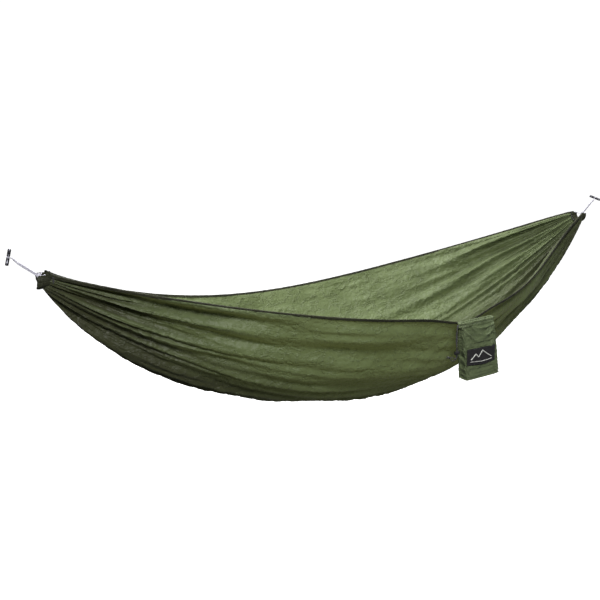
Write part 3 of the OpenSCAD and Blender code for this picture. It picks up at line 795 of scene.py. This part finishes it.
def sack_skin():
    """The pouch: sags in swags under its mouth and is squared off at the bottom."""
    around, down = 320, 170
    angle = np.linspace(0, 2 * np.pi, around, endpoint=False)[None, :]
    z = -0.016 - (SACK_HEIGHT - 0.017) * np.linspace(0, 1, down)[:, None]
    skin = sack_outline(z + 0 * angle, angle + 0 * z)
    share = np.clip(-skin[..., 2] / SACK_HEIGHT, 0, 1)
    normal = grid_normals(skin)
    centre = (skin - np.stack([-skin[..., 2] * SACK_LEAN, 0 * share, skin[..., 2]], -1))
    normal *= np.sign((normal * centre).sum(-1, keepdims=True) + 1e-12)
    x = centre[..., 0] / 0.072
    front = np.clip(-skin[..., 1] / 0.012, -1, 1)
    swag = 0
    for depth, width, height, lean in ((0.14, 0.026, 0.0046, 0.10), (0.25, 0.030, 0.0062, 0.22),
                                       (0.37, 0.036, 0.0048, -0.15),
                                       (0.50, 0.044, 0.0026, 0.3)):
        line = depth * (1 - 0.85 * np.abs(x - lean) ** 1.5) + 0.05 * x
        swag = (swag + height * np.exp(-((share - line) / width) ** 2) - 0.5 * height
                * np.exp(-((share - line + 1.5 * width) / width) ** 2))
    fade = np.clip(share / 0.08, 0, 1) * np.clip((1 - share) / 0.05, 0, 1)
    gathers = 0.0013 * np.sin(36 * angle + 2.4 * np.sin(3 * angle)) * np.exp(-share / 0.08)
    corner = np.exp(-((np.abs(x) - 0.96) / 0.09) ** 2)
    rough = (smooth_noise(skin.shape[:2], (7, 12), 41) * 0.0009 + smooth_noise(skin.shape[:2], (18, 30), 42)
             * 0.00035)
    creases = -0.0009 * np.exp(-2.5 * np.abs(smooth_noise(skin.shape[:2], (12, 18), 43)))
    height = (swag * (0.35 + 0.65 * np.abs(front)) * fade * (1 - 0.75 * corner) + gathers
              + (rough + creases) * fade)
    height -= 0.0016 * np.exp(-((share - 0.965) / 0.02) ** 2)
    # the side panels fall slightly inwards
    height -= 0.0030 * np.clip(1 - np.abs(skin[..., 1]) / 0.016, 0, 1) * fade
    skin = skin + normal * height[..., None]
    piece = grid_mesh("sack_skin", sack_to_world(skin), closed=True)
    finish_piece(piece, "sack_cloth", "sack", "sack_body", slot="canopy_cloth")
    rings = []
    last = skin[-1]
    middle = np.array((SACK_HEIGHT * SACK_LEAN, 0, 0))
    for k, shrink in enumerate((1.0, 0.985, 0.95, 0.85, 0.6, 0.3, 0.02)):
        ring = middle + (last - middle) * (shrink, shrink, 1)
        ring[:, 2] = last[:, 2] - 0.0009 * min(k, 2) + 0.0012 * (1 - shrink)
        rings.append(ring)
    base = grid_mesh("sack_base", sack_to_world(np.array(rings)), closed=True)
    finish_piece(base, "sack_cloth", "sack", "sack_bottom", slot="canopy_cloth")
    return piece


def sack_trims():
    """Seams along the corners of the sack, which stand up as thin piping."""
    pieces = []
    for corner in (-1, 1):
        for near in (-1, 1):
            z = -0.019 - (SACK_HEIGHT - 0.021) * np.linspace(0, 1, 120)
            turn = math.pi / 2 + corner * -1 * (math.pi / 2 - 0.62)
            line = sack_outline(z, np.full_like(z, near * turn))
            wob = 0.0004 * np.sin(np.linspace(0, 31, 120) + near) + 0.0003 * np.sin(np.linspace(0, 83, 120))
            line[:, 0] += corner * (0.0004 + wob)
            line[:, 1] += near * 0.0004
            pieces.append(tube("seam", sack_to_world(line), 0.0008, 8))
    return finish_piece(join("sack_seams", pieces), "sack_cloth", "sack", slot="canopy_cloth")


def mouth_ring(offset, z, ruffle, seed, count=360):
    """Closed line round the stadium-shaped mouth, puckered by its drawcord."""
    u = np.linspace(0, 1, count, endpoint=False)
    straight, end = 2 * MOUTH_HALF, math.pi * MOUTH_END_R
    total = 2 * straight + 2 * end
    run = u * total
    points = np.zeros((count, 3))
    out = np.zeros((count, 3))
    for k in range(count):
        r = run[k]
        if r < straight:
            points[k], out[k] = (-MOUTH_HALF + r, -MOUTH_END_R, 0), (0, -1, 0)
        elif r < straight + end:
            a = -math.pi / 2 + (r - straight) / MOUTH_END_R
            out[k] = (math.cos(a), math.sin(a), 0)
            points[k] = np.array((MOUTH_HALF, 0, 0)) + MOUTH_END_R * out[k]
        elif r < 2 * straight + end:
            points[k], out[k] = (MOUTH_HALF - (r - straight - end), MOUTH_END_R, 0), (0, 1, 0)
        else:
            a = math.pi / 2 + (r - 2 * straight - end) / MOUTH_END_R
            out[k] = (math.cos(a), math.sin(a), 0)
            points[k] = np.array((-MOUTH_HALF, 0, 0)) + MOUTH_END_R * out[k]
    rng = np.random.default_rng(seed)
    knots = rng.uniform(-1, 1, 61)
    knots[-1] = knots[0]
    wobble = np.interp(u, np.linspace(0, 1, 61), knots)
    pucker = np.sin(2 * np.pi * 46 * u + 1.3 * wobble) * (0.7 + 0.3 * np.roll(wobble, 9))
    points += out * (offset + ruffle * pucker)[:, None]
    points[:, 2] = z + 0.25 * ruffle * np.roll(pucker, 2) + 0.0005 * wobble
    return points


def sack_mouth():
    """Double puckered band of the mouth, with the cord that runs in it."""
    rows = []
    profile = ((-0.0004, -0.0200, 0.35), (0.0014, -0.0192, 0.7), (0.0028, -0.0165, 1.1),
               (0.0031, -0.0130, 1.2),
               (0.0022, -0.0100, 0.6), (0.0016, -0.0090, 0.35), (0.0022, -0.0080, 0.6),
               (0.0031, -0.0050, 1.2),
               (0.0030, -0.0022, 1.1), (0.0019, -0.0003, 0.9), (0.0, 0.0004, 0.8), (-0.0019, -0.0004, 0.7),
               (-0.0029, -0.0030, 0.7), (-0.0029, -0.0090, 0.4), (-0.0029, -0.0150, 0.6),
               (-0.0018, -0.0188, 0.4),
               (-0.0004, -0.0200, 0.35))
    for offset, z, share in profile:
        rows.append(mouth_ring(np.full(360, offset), z, 0.0021 * share, 51))
    band = np.array(rows)
    piece = grid_mesh("sack_mouth_band", sack_to_world(band), closed=True)
    finish_piece(piece, "sack_cloth", "sack", "sack_mouth_channel", slot="hem_cloth")
    inside = sack_to_world(mouth_ring(np.zeros(240), -0.009, 0.0, 52, 240))
    cord = tube("mouth_drawcord", np.concatenate([inside, inside[:1]]), DRAW_R, 10, False, 6, 0.08, 0.005)
    finish_piece(cord, "black_cord", "sack", "mouth_cord")
    return piece


def sack_label():
    """Cloth label on the front, sewn along its edge, with a plain peak emblem."""
    across, down = 90, 44
    u = np.linspace(0, 1, across)[:, None]
    v = np.linspace(0, 1, down)[None, :]
    x = -LABEL_W / 2 + LABEL_SHIFT + LABEL_W * u + 0 * v
    z = -LABEL_DROP + LABEL_H * v - 0.004 * u
    z = (z - (0.005 * np.sin(np.pi * np.clip(u * 1.1, 0, 1)) - 0.0015 * np.sin(7 * u)) * (1 - v) - 0.0012
         * np.sin(np.pi * u) * v)
    hang = 0.0013 + 0.0007 * np.sin(5.1 * u + 2.0 * v) + 0.0005 * np.sin(11 * u - 3 * v)
    y = -sack_half_depth(np.clip(-z / SACK_HEIGHT, 0, 1)) - 0.0022 - hang * 0.6
    front = np.stack([x, y + 0 * x, z], -1)
    back = front + (0, 0.0006, 0)
    ring = np.concatenate([front, back[:, ::-1]], 1)
    piece = grid_mesh("sack_label_cloth", sack_to_world(ring), closed=True)
    finish_piece(piece, "label_cloth", "sack", "sack_label")

    def on_label(a, b, lift=0.0004):
        i, j = a * (across - 1), b * (down - 1)
        i0, j0 = min(int(i), across - 2), min(int(j), down - 2)
        fi, fj = i - i0, j - j0
        p = ((1 - fi) * (1 - fj) * front[i0, j0] + fi * (1 - fj) * front[i0 + 1, j0]
             + (1 - fi) * fj * front[i0, j0 + 1] + fi * fj * front[i0 + 1, j0 + 1])
        return p - np.array((0, lift, 0))

    def line(knots):
        dense = []
        for (a0, b0), (a1, b1) in zip(knots[:-1], knots[1:]):
            for f in np.linspace(0, 1, 14, endpoint=False):
                dense.append(on_label(a0 + (a1 - a0) * f, b0 + (b1 - b0) * f))
        dense.append(on_label(*knots[-1]))
        return sack_to_world(np.array(dense))

    marks = [tube("peak", line([(0.14, 0.34), (0.30, 0.66), (0.40, 0.46), (0.55, 0.82), (0.86, 0.34)]),
                  0.0019, 6),
             tube("rule", line([(0.12, 0.20), (0.88, 0.20)]), 0.0013, 6)]
    finish_piece(join("label_emblem", marks), "label_mark", "sack", slot="label_cloth")
    stitches = []
    edge = [(0.02, 0.06), (0.98, 0.06), (0.98, 0.95), (0.02, 0.95), (0.02, 0.06)]
    for (a0, b0), (a1, b1) in zip(edge[:-1], edge[1:]):
        steps = 26 if a0 != a1 else 13
        for k in range(steps):
            f0, f1 = (k + 0.12) / steps, (k + 0.80) / steps
            ends = [on_label(a0 + (a1 - a0) * f, b0 + (b1 - b0) * f, 0.0001) for f in (f0, (f0 + f1) / 2, f1)]
            stitches.append(tube("stitch", sack_to_world(np.array(ends)), 0.00028, 5))
    finish_piece(join("label_stitches", stitches), "black_thread", "sack", slot="label_cloth")


def drawcord():
    """Two strands from the mouth to the cord lock, then a flat loop out to its knot."""
    exit_at = np.array((-MOUTH_HALF - MOUTH_END_R - 0.0026, 0, -0.009))
    paths = []
    for k, sign in enumerate((-1, 1)):
        knots = []
        for x, z in ((0.0, 0.0), (-2.6, 0.3), (-4.7, -1.5), (-5.7, -5.0), (-6.0, -12.0), (-6.0, -24.0),
                     (-6.0, -40.0),
                     (-6.0, -56.0), (-6.0, -72.0), (-6.0, -84.0), (-6.0, -94.0), (-6.0, -103.0),
                     (-6.8, -109.0),
                     (-9.5, -113.6), (-14.0, -116.0), (-20.0, -115.2), (-27.0, -111.3), (-34.0, -106.4),
                     (-39.0, -102.8)):
            bow = (5.4, 1.6)[k] * math.sin(math.pi * min(max((-z - 8) / 74, 0), 1))
            leaf = 5.4 * math.sin(math.pi * min(max((-x - 9) / 30, 0), 1)) if z < -100 else 0.0
            knots.append(((x + sign * bow) / 1000, sign * 0.0015, (z - sign * leaf) / 1000))
        path = sack_to_world(smooth_path(exit_at + np.array(knots), 260))
        strand = tube(f"drawcord_strand_{k + 1}", path, DRAW_R, 10, True, 6, 0.08, 0.005)
        finish_piece(strand, "black_cord", "sack", *(["drawcord"] if k == 0 else []))
        paths.append(path)
    end = (paths[0][-1] + paths[1][-1]) / 2
    way = unit(paths[0][-1] - paths[0][-8])
    side = unit(np.cross(way, (0, 1, 0)))
    turns = []
    for u in np.linspace(0, 1, 110):
        a = 2 * math.pi * 2.0 * u
        turns.append(end + way * (0.0006 + 0.0052 * u + 0.0006 * math.sin(2 * a))
                     + 0.00195 * (math.cos(a) * side + math.sin(a) * np.array((0, 1, 0))))
    knot = tube("turns", turns, 0.00135, 10, True, 6, 0.08, 0.005)
    tails = [tube("tail", smooth_path([end + way * 0.004 + side * s * 0.001, end + way * 0.0085 + side * s
                                       * 0.0022,
                                       end + way * 0.0125 + side * s * 0.0032], 16), 0.00115, 8, True, 6,
                                       0.08, 0.005)
             for s in (-1, 1)]
    finish_piece(join("drawcord_knot", [knot] + tails), "black_cord", "sack", "drawcord_end_knot")


def lock_spring():
    """Coil spring behind the button of the cord lock; the real spring shortens as the button is pressed, this
    coil has one fixed length.
    """
    low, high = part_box("cord_lock_spring")
    axis = np.array((math.cos(SACK_TILT), 0.0, math.sin(SACK_TILT)))
    middle = np.array((low + high) / 2)
    wire = 0.0004
    length = (high.x - low.x) - 2 * wire
    coil_r = (high.y - low.y) / 2 - wire
    path = []
    for u in np.linspace(0, 1, 150):
        a = 2 * math.pi * 4 * u
        path.append(middle + axis * length * (u - 0.5) + coil_r * np.array((0, math.cos(a), math.sin(a))))
    piece = tube("lock_spring_coil", path, wire, 8)
    finish_piece(piece, "spring_steel", "cord_lock", "cord_lock_spring")
    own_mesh(piece)


def hem_tab():
    """Folded tape that sews the mouth of the sack to the near hem."""
    low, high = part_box("sack_hem_tab")
    x = np.linspace(low.x, high.x, 60)
    middle_z = (low.z + high.z) / 2
    y = np.linspace(low.y, high.y, 12)
    profile = []
    for j in range(12):
        profile.append((y[j], middle_z + 0.0009))
    for j in range(11, -1, -1):
        profile.append((y[j], middle_z - 0.0009))
    points = np.array([[(xx, yy, zz + 0.0004 * math.sin(160 * xx)) for yy, zz in profile] for xx in x])
    finish_piece(grid_mesh("hem_tape", points, closed=True), "hem_cloth", "canopy", "sack_hem_tab")


# ---- backdrop and light ----
def area_light(name, at, aim, size, power, colour=(1, 1, 1)):
    data = bpy.data.lights.new(name, "AREA")
    data.shape = "RECTANGLE"
    data.size, data.size_y = size
    data.energy = power
    data.color = colour
    light = bpy.data.objects.new(name, data)
    bpy.context.scene.collection.objects.link(light)
    back = -unit(np.subtract(aim, at))
    side = unit(np.cross((0, 0, 1), back) if abs(back[2]) < 0.99 else (1, 0, 0))
    place = np.eye(4)
    place[:3, 0], place[:3, 1], place[:3, 2], place[:3, 3] = side, np.cross(back, side), back, at
    light.matrix_world = Matrix(place.tolist())
    return light


def glowing(name, colour, glow):
    """Matt white paper that is lit so evenly that it seems to glow."""
    paint = Paint(name)
    grain = paint.noise(paint.place.outputs["Object"], 3.0, 2.0)
    paint.link(paint.ramp(grain, ((0.3, (colour - 0.02,) * 3), (0.7, (colour,) * 3))),
               paint.surface.inputs["Base Color"])
    paint.set(Roughness=0.9, Emission_Color=(1.0, 1.0, 1.0, 1.0), Emission_Strength=glow)
    return paint.material


def make_room():
    """Pale round floor that turns up into a wall far away on every side, and soft lights above."""
    rise = [(0.0002, 0.0), (8.0, 0.0), (18.0, 0.0)]
    rise += ([(18.0 + 8 * math.sin(a), 8 - 8 * math.cos(a)) for a in np.linspace(0.2, math.pi / 2, 8)]
             + [(26.0, 26.0)])
    turn = np.linspace(0, 2 * np.pi, 96, endpoint=False)
    points = np.array([[(1.2 + r * math.cos(a), -r * math.sin(a), z + FLOOR_Z) for a in turn] for r,
                       z in rise])
    floor = grid_mesh("floor", points, closed=True)
    floor.data.materials.append(glowing("floor_paper", 0.86, FLOOR_GLOW))
    floor.visible_diffuse = False
    floor.visible_glossy = False
    floor.visible_transmission = False
    floor.visible_shadow = False
    world = bpy.data.worlds.new("room")
    world.use_nodes = True
    world.node_tree.nodes["Background"].inputs["Color"].default_value = (0.95, 0.97, 1.0, 1)
    world.node_tree.nodes["Background"].inputs["Strength"].default_value = WORLD_LIGHT
    bpy.context.scene.world = world
    lights = [area_light("overhead", (0.8, 0.7, 3.4), (1.2, 0.0, -0.3), (3.0, 1.8), 222),
              area_light("back_window", (0.4, 3.4, 1.6), (1.2, 0.1, -0.3), (2.6, 1.4), 90),
              area_light("front_fill", (-0.4, -3.2, 2.4), (1.0, 0.0, -0.35), (1.6, 1.0), 188)]
    bpy.context.scene.view_settings.view_transform = "Standard"


make_camera()
MATERIALS = make_materials()
for end in SIDES:
    suspension(end)
    toggle(end)
cloth, cloth_shade = gathered_canopy()
canopy = grid_mesh("canopy_cloth", crinkled(cloth))
add_shade(canopy, cloth_shade)
finish_piece(canopy, "canopy_cloth", "canopy", "canopy_panel")
near_hem = hem_band("near_hem", -1, "near_hem_binding")
far_hem = hem_band("far_hem", 1, "far_hem_binding")
for end in SIDES:
    end_gather(end, cloth)
sack_skin()
sack_trims()
sack_mouth()
sack_label()
drawcord()
hem_tab()
lock_spring()
for node in ("cord_lock_body", "cord_lock_button"):
    carried = bpy.data.objects[node]
    carried.data.materials.clear()
    carried.data.materials.append(MATERIALS["lock_plastic"])
make_room()
